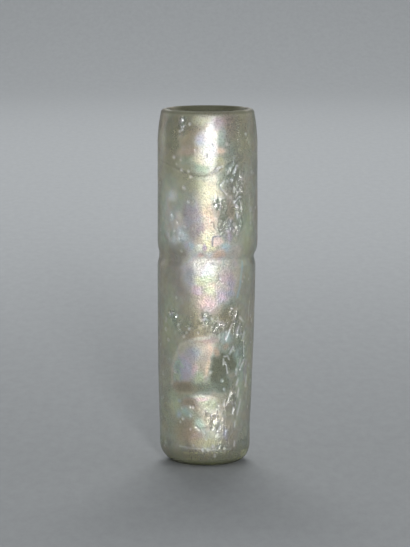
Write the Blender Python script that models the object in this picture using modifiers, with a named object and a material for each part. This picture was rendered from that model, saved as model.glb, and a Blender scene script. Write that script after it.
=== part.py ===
"""Small tubular unguent bottle of free-blown glass, standing on its foot.

The bottle is one piece of glass: a narrow tube with a thick rounded base, a shallow tooled waist above
the middle, and a mouth end that draws in to a rounded lip. Its section is a profile turned about Z, and
the turned wall then leans a little and is a little out of round, as blown glass is. Sizes are in
millimetres here, and the mesh is in metres with +Z up and its origin under the middle of the bottle.
"""

import math

import bpy
import numpy as np

MM = 0.001

# Whole bottle, its outside radius being that of the upper tube
HEIGHT = 110.0
BODY_RADIUS = 15.5
WALL = 1.5

# Waist, a groove tooled round the hot glass, with a soft step up to the wider upper tube
WAIST_HEIGHT = 64.4
WAIST_DEPTH = 0.5
GROOVE_ABOVE = 2.0
GROOVE_BELOW = 1.5
WAIST_STEP = 5.0

# The lower tube is slimmer than the upper one, and from the waist it narrows down to this height
LOWER_SLIMMER = 0.3
BASE_TAPER = 1.15
TAPER_START = 12.0

# Mouth end
DRAW_LENGTH = 11.0
DRAW_IN = 1.0
DRAW_CURVE = 1.7
LIP_ROUND = 1.5
LIP_SWELL = 5.0
CREST_RADIUS = 12.9
MOUTH_RADIUS = 11.6

# Base: a rounded edge, a flat foot ring that it stands on, and a shallow kick
BASE_ROUND = 6.2
FOOT_RADIUS = 8.6
FOOT_WIDTH = 3.2
KICK_HEIGHT = 0.7
FLOOR_HEIGHT = 4.4
FLOOR_ROUND = 4.0
FLOOR_RISE = 0.4

# Irregularities of the blown tube
LEAN = 0.55
WAIST_SHIFT = 0.3
FOOT_OFFSET = 0.4
OUT_OF_ROUND = 0.08
ROUND_TURN = math.radians(35)

# Fineness of the mesh
SEGMENTS = 56
OUTER_STEP = 4.0
INNER_STEP = 6.0
WAIST_ROWS = 9
WAIST_CLEAR = 0.8
EDGE_ROWS = 6
LIP_ROWS = 4
FLOOR_ROWS = 3
MERGE_DISTANCE = 0.00001

LIP_BASE = HEIGHT - LIP_ROUND
KICK_RADIUS = FOOT_RADIUS - FOOT_WIDTH


def smooth_step(value, start, end):
    """Rises from 0 at start to 1 at end, level at both ends."""
    share = np.clip((value - start) / (end - start), 0.0, 1.0)
    return share * share * (3.0 - 2.0 * share)


def outer_radius(height):
    """Radius of the outside: the taper, the step and groove of the waist, and the draw to the mouth."""
    taper = np.clip((WAIST_HEIGHT - height) / (WAIST_HEIGHT - TAPER_START), 0.0, 1.0)
    slimmer = LOWER_SLIMMER * (1.0 - smooth_step(height, WAIST_HEIGHT, WAIST_HEIGHT + WAIST_STEP))
    reach = np.where(height > WAIST_HEIGHT, GROOVE_ABOVE, GROOVE_BELOW)
    groove = WAIST_DEPTH * np.exp(-(((height - WAIST_HEIGHT) / reach) ** 2))
    draw = np.clip((height - HEIGHT + DRAW_LENGTH) / (DRAW_LENGTH - LIP_ROUND), 0.0, 1.0)
    return BODY_RADIUS - slimmer - BASE_TAPER * taper**2 - groove - DRAW_IN * draw**DRAW_CURVE


def inner_radius(height):
    """Radius of the inside: the outside less the wall, which swells to meet the mouth at the lip."""
    lip_wall = outer_radius(LIP_BASE) - MOUTH_RADIUS
    swell = smooth_step(height, LIP_BASE - LIP_SWELL, LIP_BASE)
    return outer_radius(height) - WALL - (lip_wall - WALL) * swell


def wall_heights(low, high, step):
    """Heights of the rings between low and high, closer together at the waist."""
    even = np.linspace(low, high, max(int((high - low) / step), 2) + 1)
    reach = 2.0 * GROOVE_ABOVE
    close = np.linspace(WAIST_HEIGHT - reach, WAIST_HEIGHT + reach, WAIST_ROWS)
    close = close[(close > low + WAIST_CLEAR) & (close < high - WAIST_CLEAR)]
    clear = np.abs(even - WAIST_HEIGHT) > reach + WAIST_CLEAR
    clear[[0, -1]] = True
    return np.sort(np.concatenate([even[clear], close]))


def arc(centre, across, along, start, end, rows):
    """Points of an elliptical arc in the profile's plane, from one angle in degrees to another."""
    turn = np.radians(np.linspace(start, end, rows + 1))
    return np.column_stack([centre[0] + across * np.cos(turn), centre[1] + along * np.sin(turn)])


def floor_profile():
    """The inside of the base: from the axis out over the raised floor and round up into the wall."""
    side = inner_radius(FLOOR_HEIGHT + FLOOR_ROUND)
    flat = side - FLOOR_ROUND
    radius = np.linspace(0.0, flat, FLOOR_ROWS + 1)[:-1]
    rise = FLOOR_RISE * (1.0 - smooth_step(radius, 0.0, flat))
    floor = np.column_stack([radius, FLOOR_HEIGHT + rise])
    corner = arc((flat, FLOOR_HEIGHT + FLOOR_ROUND), FLOOR_ROUND, FLOOR_ROUND, -90, 0, EDGE_ROWS)
    return np.vstack([floor, corner])


def lip_profile():
    """The rounded lip, from the mouth over the crest to the outside."""
    crest = (CREST_RADIUS, LIP_BASE)
    inside = arc(crest, CREST_RADIUS - MOUTH_RADIUS, LIP_ROUND, 180, 90, LIP_ROWS)
    outside = arc(crest, outer_radius(LIP_BASE) - CREST_RADIUS, LIP_ROUND, 90, 0, LIP_ROWS)
    return np.vstack([inside, outside[1:]])


def base_profile():
    """The outside of the base: round under to the flat foot ring, then up into the kick."""
    side = outer_radius(BASE_ROUND)
    edge = arc((FOOT_RADIUS, BASE_ROUND), side - FOOT_RADIUS, BASE_ROUND, 0, -90, EDGE_ROWS)
    radius = np.linspace(KICK_RADIUS, 0.0, FLOOR_ROWS + 1)
    kick = np.column_stack([radius, KICK_HEIGHT * (1.0 - (radius / KICK_RADIUS) ** 2)])
    return np.vstack([edge, kick])


def bottle_profile():
    """The whole section, from the floor's centre up the inside, over the lip and down the outside."""
    inner = wall_heights(FLOOR_HEIGHT + FLOOR_ROUND, LIP_BASE, INNER_STEP)[1:-1]
    outer = wall_heights(BASE_ROUND, LIP_BASE, OUTER_STEP)[-2:0:-1]
    return np.vstack(
        [
            floor_profile(),
            np.column_stack([inner_radius(inner), inner]),
            lip_profile(),
            np.column_stack([outer_radius(outer), outer]),
            base_profile(),
        ]
    )


def turned_object(name, profile):
    """An object whose mesh is the profile in the XZ plane, turned about Z by a Screw modifier."""
    points = [(radius * MM, 0.0, height * MM) for radius, height in profile]
    edges = [(index, index + 1) for index in range(len(points) - 1)]
    mesh = bpy.data.meshes.new(name + "_profile")
    mesh.from_pydata(points, edges, [])
    turned = bpy.data.objects.new(name + "_turned", mesh)
    bpy.context.scene.collection.objects.link(turned)
    screw = turned.modifiers.new("Turn", "SCREW")
    screw.axis = "Z"
    screw.angle = math.tau
    screw.steps = SEGMENTS
    screw.render_steps = SEGMENTS
    screw.use_merge_vertices = True
    screw.merge_threshold = MERGE_DISTANCE
    return turned


def blown_shape(points):
    """Leans the wall, sets it over at the waist and foot, makes it oval and centres it on the origin."""
    height = points[:, 2]
    turn = np.arctan2(points[:, 1], points[:, 0])
    radius = np.hypot(points[:, 0], points[:, 1])
    side = BODY_RADIUS * MM
    oval = OUT_OF_ROUND * MM * np.cos(2.0 * (turn - ROUND_TURN)) * np.minimum(radius / side, 1.0)
    waist = WAIST_HEIGHT * MM
    lean = LEAN * MM * smooth_step(height, BASE_ROUND * MM, waist)
    shift = WAIST_SHIFT * MM * smooth_step(height, waist, waist + GROOVE_ABOVE * MM)
    foot = FOOT_OFFSET * MM * (1.0 - smooth_step(height, 0.0, BASE_ROUND * MM))
    points[:, 0] = (radius + oval) * np.cos(turn) + lean + shift + foot
    points[:, 1] = (radius + oval) * np.sin(turn)
    points[:, :2] -= (points[:, :2].min(axis=0) + points[:, :2].max(axis=0)) / 2.0
    return points


def glass_material():
    """Pale olive-green glass, thin enough to see through."""
    material = bpy.data.materials.new("glass")
    material.use_nodes = True
    shader = material.node_tree.nodes["Principled BSDF"]
    shader.inputs["Base Color"].default_value = (0.62, 0.66, 0.54, 1.0)
    shader.inputs["Roughness"].default_value = 0.2
    shader.inputs["Metallic"].default_value = 0.0
    shader.inputs["IOR"].default_value = 1.5
    shader.inputs["Transmission Weight"].default_value = 0.9
    return material


def make_vessel(collection):
    """The bottle's glass: the turned section given its blown shape, as one closed mesh."""
    turned = turned_object("vessel", bottle_profile())
    evaluated = turned.evaluated_get(bpy.context.evaluated_depsgraph_get())
    mesh = bpy.data.meshes.new_from_object(evaluated)
    mesh.name = "vessel"
    bpy.data.objects.remove(turned, do_unlink=True)
    points = np.empty(len(mesh.vertices) * 3)
    mesh.vertices.foreach_get("co", points)
    mesh.vertices.foreach_set("co", blown_shape(points.reshape(-1, 3)).ravel())
    mesh.update()
    mesh.shade_smooth()
    mesh.set_sharp_from_angle(angle=math.radians(40))
    mesh.materials.clear()
    mesh.materials.append(glass_material())
    vessel = bpy.data.objects.new("vessel", mesh)
    collection.objects.link(vessel)
    return vessel


def main():
    for leftover in list(bpy.data.objects):
        bpy.data.objects.remove(leftover, do_unlink=True)
    collection = bpy.data.collections.new("glass_unguentarium")
    bpy.context.scene.collection.children.link(collection)
    make_vessel(collection)


main()
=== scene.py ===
"""Weathered glass unguent bottle: the blown glass, its iridescent film and a plain studio.

The glass and the film are two closed skins worked out from one turned section. The section follows the
solid bottle's sizes, and both skins share one relief of dents, pits and crinkles. The film lies a hair
outside the glass, inside and out, and shows wherever its cover is more than nothing. Sizes in the shape
functions are millimetres and degrees, and meshes are in metres. Turn 0 faces the camera, along -Y, and
grows towards +X.
"""

import math

import bpy
import numpy as np
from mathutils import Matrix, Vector


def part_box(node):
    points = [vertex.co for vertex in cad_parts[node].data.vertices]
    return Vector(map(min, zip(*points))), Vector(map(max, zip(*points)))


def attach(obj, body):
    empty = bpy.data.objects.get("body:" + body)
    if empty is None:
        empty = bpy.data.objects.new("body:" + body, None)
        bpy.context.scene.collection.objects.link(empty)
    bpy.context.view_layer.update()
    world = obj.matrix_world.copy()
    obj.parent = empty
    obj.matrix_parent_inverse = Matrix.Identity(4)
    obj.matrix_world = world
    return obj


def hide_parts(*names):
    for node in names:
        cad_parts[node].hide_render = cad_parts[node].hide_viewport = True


MM = 0.001

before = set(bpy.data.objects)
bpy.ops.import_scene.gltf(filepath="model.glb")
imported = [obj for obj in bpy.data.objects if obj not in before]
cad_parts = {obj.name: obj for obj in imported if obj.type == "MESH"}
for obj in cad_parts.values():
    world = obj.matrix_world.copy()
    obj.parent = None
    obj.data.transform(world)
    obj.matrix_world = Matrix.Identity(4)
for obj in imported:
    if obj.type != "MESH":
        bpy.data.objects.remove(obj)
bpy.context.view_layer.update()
low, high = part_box("vessel")

# Section of the bottle, as in the solid
HEIGHT = (high[2] - low[2]) / MM
BODY_RADIUS = 15.5
WALL = 1.5
LOWER_SLIMMER = 0.3
BASE_TAPER = 1.15
TAPER_START = 12.0
WAIST_HEIGHT = 64.4
WAIST_DEPTH = 0.5
GROOVE_ABOVE = 2.0
GROOVE_BELOW = 1.5
WAIST_STEP = 5.0
DRAW_LENGTH = 11.0
DRAW_IN = 1.0
DRAW_CURVE = 1.7
LIP_ROUND = 1.5
LIP_SWELL = 5.0
CREST_RADIUS = 12.9
MOUTH_RADIUS = 11.6
BASE_ROUND = 6.2
FOOT_RADIUS = 8.6
FOOT_WIDTH = 3.2
KICK_HEIGHT = 0.7
FLOOR_HEIGHT = 4.4
FLOOR_ROUND = 4.0
FLOOR_RISE = 0.4
LEAN = 0.55
WAIST_SHIFT = 0.3
FOOT_OFFSET = 0.4
OUT_OF_ROUND = 0.08
ROUND_TURN = 35.0
LIP_BASE = HEIGHT - LIP_ROUND
KICK_RADIUS = FOOT_RADIUS - FOOT_WIDTH

# How far the two skins stand inside the solid's surface, so that relief and film stay within it
GLASS_INSET = 0.16
FILM_GAP = 0.05

# Fineness of the skins: turns round, then rows on the outer wall, on the inner wall and in each bend
SKIN_TURNS = 250
SKIN_ROWS = (286, 40, 9)
FRONT_CLOSER = 0.6

# Finishes
GLASS_ROUGHNESS = 0.12
GLASS_DARK = (0.88, 0.87, 0.76, 1.0)
GLASS_PALE = (0.94, 0.93, 0.84, 1.0)
GLASS_DEPTH_COLOUR = (0.54, 0.57, 0.30, 1.0)
GLASS_DEPTH = 130.0
GLASS_GRAIN = 900.0
GLASS_DEPTHS = (0.10, 0.25)
FILM_GRAIN = 2300.0
FILM_DEPTHS = (0.22, 0.25)
CRINKLE_CELLS = 420.0
PATCH_VIVID = 0.62
THICKNESS_CELLS = 160.0
THICKNESS_SHARE = 0.12
VEIL_COLOUR = (0.80, 0.79, 0.61, 1.0)
# Colour of the dirt, also used for the painted shade on the rim, in the mouth and at the bottom edge
DIRT_AND_SHADE_COLOUR = (0.125, 0.125, 0.08, 1.0)
CARD_DARK = (0.323, 0.338, 0.350, 1.0)
CARD_PALE = (0.357, 0.372, 0.385, 1.0)
CARD_GRAIN = 280.0
CARD_STRETCH = (1.0, 0.35, 1.0)
FILM_COLOURS = [
    (0.00, (0.80, 0.80, 0.80, 1.0)),
    (0.10, (0.86, 0.82, 0.66, 1.0)),
    (0.18, (0.85, 0.78, 0.45, 1.0)),
    (0.27, (0.85, 0.60, 0.42, 1.0)),
    (0.36, (0.84, 0.52, 0.56, 1.0)),
    (0.44, (0.62, 0.42, 0.66, 1.0)),
    (0.52, (0.50, 0.52, 0.80, 1.0)),
    (0.60, (0.35, 0.55, 0.80, 1.0)),
    (0.68, (0.38, 0.68, 0.70, 1.0)),
    (0.76, (0.55, 0.78, 0.60, 1.0)),
    (0.84, (0.78, 0.86, 0.50, 1.0)),
    (0.92, (0.88, 0.74, 0.66, 1.0)),
    (1.00, (0.86, 0.60, 0.66, 1.0)),
]

# Studio, in metres
FLOOR_FLAT = 1.6
SWEEP = 1.0
WALL_TOP = 2.4
STRIP_TURN = 7.5
STRIP_DISTANCE = 1.0
STRIP_MIDDLE = 0.19
STRIP_WIDTH = 0.1
STRIP_TALL = 0.34
STRIP_POWER = 7.6
STRIP_COLOUR = (1.0, 1.0, 1.0)
TUBE_TURNS = (-62.0, 78.0, 112.0)
TUBE_WIDTH = 0.012
TUBE_POWER = 0.45
FILL_TURN = -124.0
FILL_WIDTH = 0.4
FILL_POWER = 0.35
OVERHEAD_PLACE = (0.0, 1.2, 1.1)
OVERHEAD_AIM = (0.0, 1.15, 0.0)
OVERHEAD_WIDTH = 0.9
OVERHEAD_POWER = 13.2
OVERHEAD_COLOUR = (1.0, 1.0, 1.0)
POOL_PLACE = (0.0, 0.5, 0.6)
POOL_AIM = (0.0, 0.5, 0.0)
POOL_WIDTH = 0.3
POOL_POWER = 0.95
SURROUND_COLOUR = (0.98, 1.0, 1.0, 1.0)
SURROUND_STRENGTH = 0.36

# Camera, in millimetres and degrees
CAMERA_AIM = (-0.79, 0.0, 58.67)
CAMERA_RISE = 7.5
CAMERA_DISTANCE = 928.6
CAMERA_LENS = 197.4
CAMERA_SENSOR = 36.0
CAMERA_REACH = 10.0


def smooth_step(value, start, end):
    """Rises from 0 at start to 1 at end, level at both ends."""
    share = np.clip((value - start) / (end - start), 0.0, 1.0)
    return share * share * (3.0 - 2.0 * share)


def outer_radius(height):
    """Radius of the outside: the taper, the step and groove of the waist, and the draw to the mouth."""
    taper = np.clip((WAIST_HEIGHT - height) / (WAIST_HEIGHT - TAPER_START), 0.0, 1.0)
    slimmer = LOWER_SLIMMER * (1.0 - smooth_step(height, WAIST_HEIGHT, WAIST_HEIGHT + WAIST_STEP))
    reach = np.where(height > WAIST_HEIGHT, GROOVE_ABOVE, GROOVE_BELOW)
    groove = WAIST_DEPTH * np.exp(-(((height - WAIST_HEIGHT) / reach) ** 2))
    draw = np.clip((height - HEIGHT + DRAW_LENGTH) / (DRAW_LENGTH - LIP_ROUND), 0.0, 1.0)
    return BODY_RADIUS - slimmer - BASE_TAPER * taper**2 - groove - DRAW_IN * draw**DRAW_CURVE


def inner_radius(height):
    """Radius of the inside: the outside less the wall, which swells to meet the mouth at the lip."""
    lip_wall = outer_radius(LIP_BASE) - MOUTH_RADIUS
    swell = smooth_step(height, LIP_BASE - LIP_SWELL, LIP_BASE)
    return outer_radius(height) - WALL - (lip_wall - WALL) * swell


def axis_offset(height):
    """How far the bottle's axis stands to +X at each height: its lean, its waist and its foot."""
    lean = LEAN * smooth_step(height, BASE_ROUND, WAIST_HEIGHT)
    shift = WAIST_SHIFT * smooth_step(height, WAIST_HEIGHT, WAIST_HEIGHT + GROOVE_ABOVE)
    foot = FOOT_OFFSET * (1.0 - smooth_step(height, 0.0, BASE_ROUND))
    return lean + shift + foot - LEAN - WAIST_SHIFT


def arc(centre, across, along, start, end, rows):
    """Points of an elliptical arc in the section, from one angle in degrees to another."""
    turn = np.radians(np.linspace(start, end, rows + 1))
    return np.column_stack([centre[0] + across * np.cos(turn), centre[1] + along * np.sin(turn)])


def section(wall_rows, inside_rows, edge_rows):
    """The section from the floor's centre up the inside, over the lip and down the outside to the kick.

    Gives the points and, for each, a side: 0 on the inside, 1 on the outside, changing over the lip.
    """
    corner_top = FLOOR_HEIGHT + FLOOR_ROUND
    flat = inner_radius(corner_top) - FLOOR_ROUND
    radius = np.linspace(0.0, flat, edge_rows + 1)[:-1]
    floor = np.column_stack([radius, FLOOR_HEIGHT + FLOOR_RISE * (1.0 - smooth_step(radius, 0.0, flat))])
    corner = arc((flat, corner_top), FLOOR_ROUND, FLOOR_ROUND, -90, 0, edge_rows)
    inner = np.linspace(corner_top, LIP_BASE, inside_rows + 1)[1:-1]
    crest = (CREST_RADIUS, LIP_BASE)
    lip_in = arc(crest, CREST_RADIUS - MOUTH_RADIUS, LIP_ROUND, 180, 90, edge_rows)
    lip_out = arc(crest, outer_radius(LIP_BASE) - CREST_RADIUS, LIP_ROUND, 90, 0, edge_rows)[1:]
    outer = np.linspace(LIP_BASE, BASE_ROUND, wall_rows + 1)[1:-1]
    side = outer_radius(BASE_ROUND)
    edge = arc((FOOT_RADIUS, BASE_ROUND), side - FOOT_RADIUS, BASE_ROUND, 0, -90, 2 * edge_rows)
    radius = np.linspace(KICK_RADIUS, 0.0, edge_rows + 1)
    kick = np.column_stack([radius, KICK_HEIGHT * (1.0 - (radius / KICK_RADIUS) ** 2)])
    inside = [floor, corner, np.column_stack([inner_radius(inner), inner]), lip_in]
    outside = [lip_out, np.column_stack([outer_radius(outer), outer]), edge, kick]
    points = np.vstack(inside + outside)
    side_of = np.zeros(len(points))
    side_of[sum(len(part) for part in inside) :] = 1.0
    return points, side_of


def section_normals(points):
    """Unit normals of the section, pointing out of the glass, with the two ends along the axis."""
    along = np.gradient(points, axis=0)
    normal = np.column_stack([-along[:, 1], along[:, 0]])
    normal /= np.linalg.norm(normal, axis=1)[:, None]
    normal[0] = (0.0, 1.0)
    normal[-1] = (0.0, -1.0)
    return normal


def lattice(turn, height, across, up, seed):
    """Soft noise from -1 to 1 round the bottle: random values on a lattice of cells across by up
    millimetres, joined by smooth steps, so that it closes on itself after a full turn."""
    columns = max(int(round(math.tau * BODY_RADIUS / across)), 3)
    rows = int(HEIGHT / up) + 3
    values = np.random.default_rng(seed).uniform(-1.0, 1.0, (columns, rows))
    x = (turn / 360.0 % 1.0) * columns
    y = np.clip(height / up, 0.0, rows - 1.001)
    left, bottom = x.astype(int), y.astype(int)
    share_x, share_y = smooth_step(x - left, 0.0, 1.0), smooth_step(y - bottom, 0.0, 1.0)
    left %= columns
    right, top = (left + 1) % columns, np.minimum(bottom + 1, rows - 1)
    lower = values[left, bottom] * (1.0 - share_x) + values[right, bottom] * share_x
    upper = values[left, top] * (1.0 - share_x) + values[right, top] * share_x
    return lower * (1.0 - share_y) + upper * share_y


def layered(turn, height, across, up, seed, layers=3):
    """Lattice noise in layers, each half as coarse and half as strong as the one before."""
    total = sum(0.5**k * lattice(turn, height, across * 0.5**k, up * 0.5**k, seed + k) for k in range(layers))
    return total / (2.0 - 0.5 ** (layers - 1))


def turn_distance(turn, centre):
    """Millimetres round the wall from a turn, the short way, with + towards growing turns."""
    return ((turn - centre + 180.0) % 360.0 - 180.0) * math.radians(BODY_RADIUS)


# Places on the wall are written as a turn in degrees and a height in millimetres. A film value runs from
# 0, silver, through straw, peach, pink, violet, blue, teal and green to cream and rose at 1.

# Film patches: turn, height, half width, half height, tilt, softness of the edge, film, cover, dirt
UPPER_PATCHES = [
    (30, 96.0, 3.8, 13.5, 0, 0.6, 0.50, 0.46, 0.64),
    (42, 103.0, 4.6, 7.0, 0, 0.9, 0.15, 0.42, 0.40),
    (-34, 99.0, 4.4, 9.0, 0, 0.9, 0.15, 0.48, 0.74),
    (-21, 101.5, 3.4, 5.5, 0, 0.8, 0.26, 0.50, 0.38),
    (22, 104.5, 3.0, 4.5, 0, 0.8, 0.38, 0.48, 0.40),
    (-22, 94.5, 4.2, 2.6, 0, 0.7, 0.76, 0.42, 0.08),
    (-45, 86.0, 3.4, 7.0, -8, 0.8, 0.78, 0.45, 0.0),
    (2, 98.5, 3.9, 5.6, 0, 0.6, 0.04, 0.86, 0.0),
    (5, 104.5, 1.9, 3.4, 0, 0.7, 0.03, 0.92, 0.0),
    (-10, 107.0, 2.3, 1.6, 10, 0.8, 0.12, 0.55, 0.0),
    (13, 106.0, 1.9, 2.0, 0, 0.7, 0.42, 0.66, 0.18),
    (17, 101.5, 1.5, 2.6, 0, 0.7, 0.66, 0.62, 0.12),
    (-9, 101.6, 1.6, 1.8, 0, 0.7, 0.53, 0.75, 0.0),
    (-24, 98.0, 3.4, 1.6, -12, 0.8, 0.33, 0.68, 0.30),
    (22, 95.0, 3.3, 5.8, 0, 0.7, 0.66, 0.54, 0.56),
    (16, 98.2, 1.7, 1.4, 0, 0.6, 0.29, 0.78, 0.10),
    (13, 94.2, 1.9, 2.6, 0, 0.6, 0.18, 0.70, 0.34),
    (-4, 95.0, 3.2, 1.8, 0, 0.6, 0.12, 0.86, 0.0),
    (2, 98.4, 2.3, 6.0, 0, 0.6, 0.01, 0.98, 0.0),
    (-8, 92.3, 2.6, 1.3, 0, 0.6, 0.75, 0.55, 0.0),
    (-12, 88.0, 3.0, 2.8, 0, 0.8, 0.81, 0.42, 0.0),
    (4, 83.5, 3.5, 7.6, 0, 0.6, 0.13, 0.88, 0.0),
    (3, 75.5, 3.2, 5.5, 0, 0.7, 0.29, 0.90, 0.0),
    (-19, 77.5, 3.1, 5.8, 4, 0.5, 0.49, 0.58, 0.0),
    (-13, 73.0, 1.9, 3.2, 10, 0.5, 0.44, 0.55, 0.10),
    (-8, 70.6, 1.7, 1.5, 0, 0.6, 0.30, 0.62, 0.12),
    (-56, 77.0, 2.8, 8.5, 0, 0.9, 0.74, 0.68, 0.0),
    (-47, 79.0, 3.4, 8.0, -6, 0.8, 0.05, 0.80, 0.0),
    (-37, 74.5, 2.8, 6.4, -16, 0.7, 0.05, 0.68, 0.0),
    (-38, 80.5, 1.7, 3.6, -12, 0.8, 0.70, 0.44, 0.0),
    (-34, 75.6, 1.7, 4.4, -20, 0.8, 0.03, 0.90, 0.0),
    (-28, 71.6, 1.4, 2.4, -22, 0.8, 0.58, 0.60, 0.0),
    (-52, 71.5, 1.3, 1.1, 0, 0.8, 0.38, 0.42, 0.0),
    (-42, 72.0, 1.2, 1.4, 0, 0.8, 0.69, 0.58, 0.0),
    (20, 79.5, 3.0, 3.2, 0, 0.7, 0.31, 0.50, 0.28),
    (27, 79.0, 1.8, 2.4, 0, 0.6, 0.30, 0.58, 0.62),
    (2, 69.8, 2.4, 4.8, 0, 0.6, 0.17, 0.92, 0.0),
    (46, 73.5, 3.8, 7.5, 0, 0.8, 0.79, 0.54, 0.0),
    (34, 69.5, 2.4, 4.0, 0, 0.8, 0.05, 0.60, 0.0),
    (12, 70.8, 2.0, 1.8, 0, 0.3, 0.36, 0.86, 0.0),
    (27, 73.2, 0.9, 3.8, 0, 0.4, 0.47, 0.80, 0.08),
    (27, 65.4, 4.2, 2.4, 0, 0.7, 0.04, 0.82, 0.0),
    (23, 68.3, 2.0, 1.5, 0, 0.4, 0.62, 0.84, 0.0),
    (-20, 67.6, 1.9, 2.8, 0, 0.7, 0.04, 0.78, 0.0),
    (-21, 68.0, 1.3, 2.0, 0, 0.6, 0.50, 0.80, 0.0),
    (-17, 69.4, 0.8, 1.5, 0, 0.5, 0.61, 0.90, 0.0),
    (-9, 68.0, 1.1, 2.2, 0, 0.4, 0.05, 0.95, 0.0),
    (3, 65.6, 3.6, 1.6, 0, 0.6, 0.03, 0.96, 0.0),
    (-13, 65.4, 2.6, 1.6, 0, 0.7, 0.03, 0.96, 0.0),
    (-8, 66.2, 1.0, 0.9, 0, 0.5, 0.35, 0.85, 0.0),
    (-3, 69.0, 0.6, 1.3, 0, 0.5, 0.44, 0.70, 0.0),
    (14, 66.2, 1.9, 2.0, 0, 0.5, 0.30, 0.86, 0.0),
    (16, 64.2, 1.1, 1.1, 0, 0.5, 0.41, 0.86, 0.0),
    (34, 67.2, 2.4, 1.6, 0, 0.7, 0.04, 0.70, 0.0),
]
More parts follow.
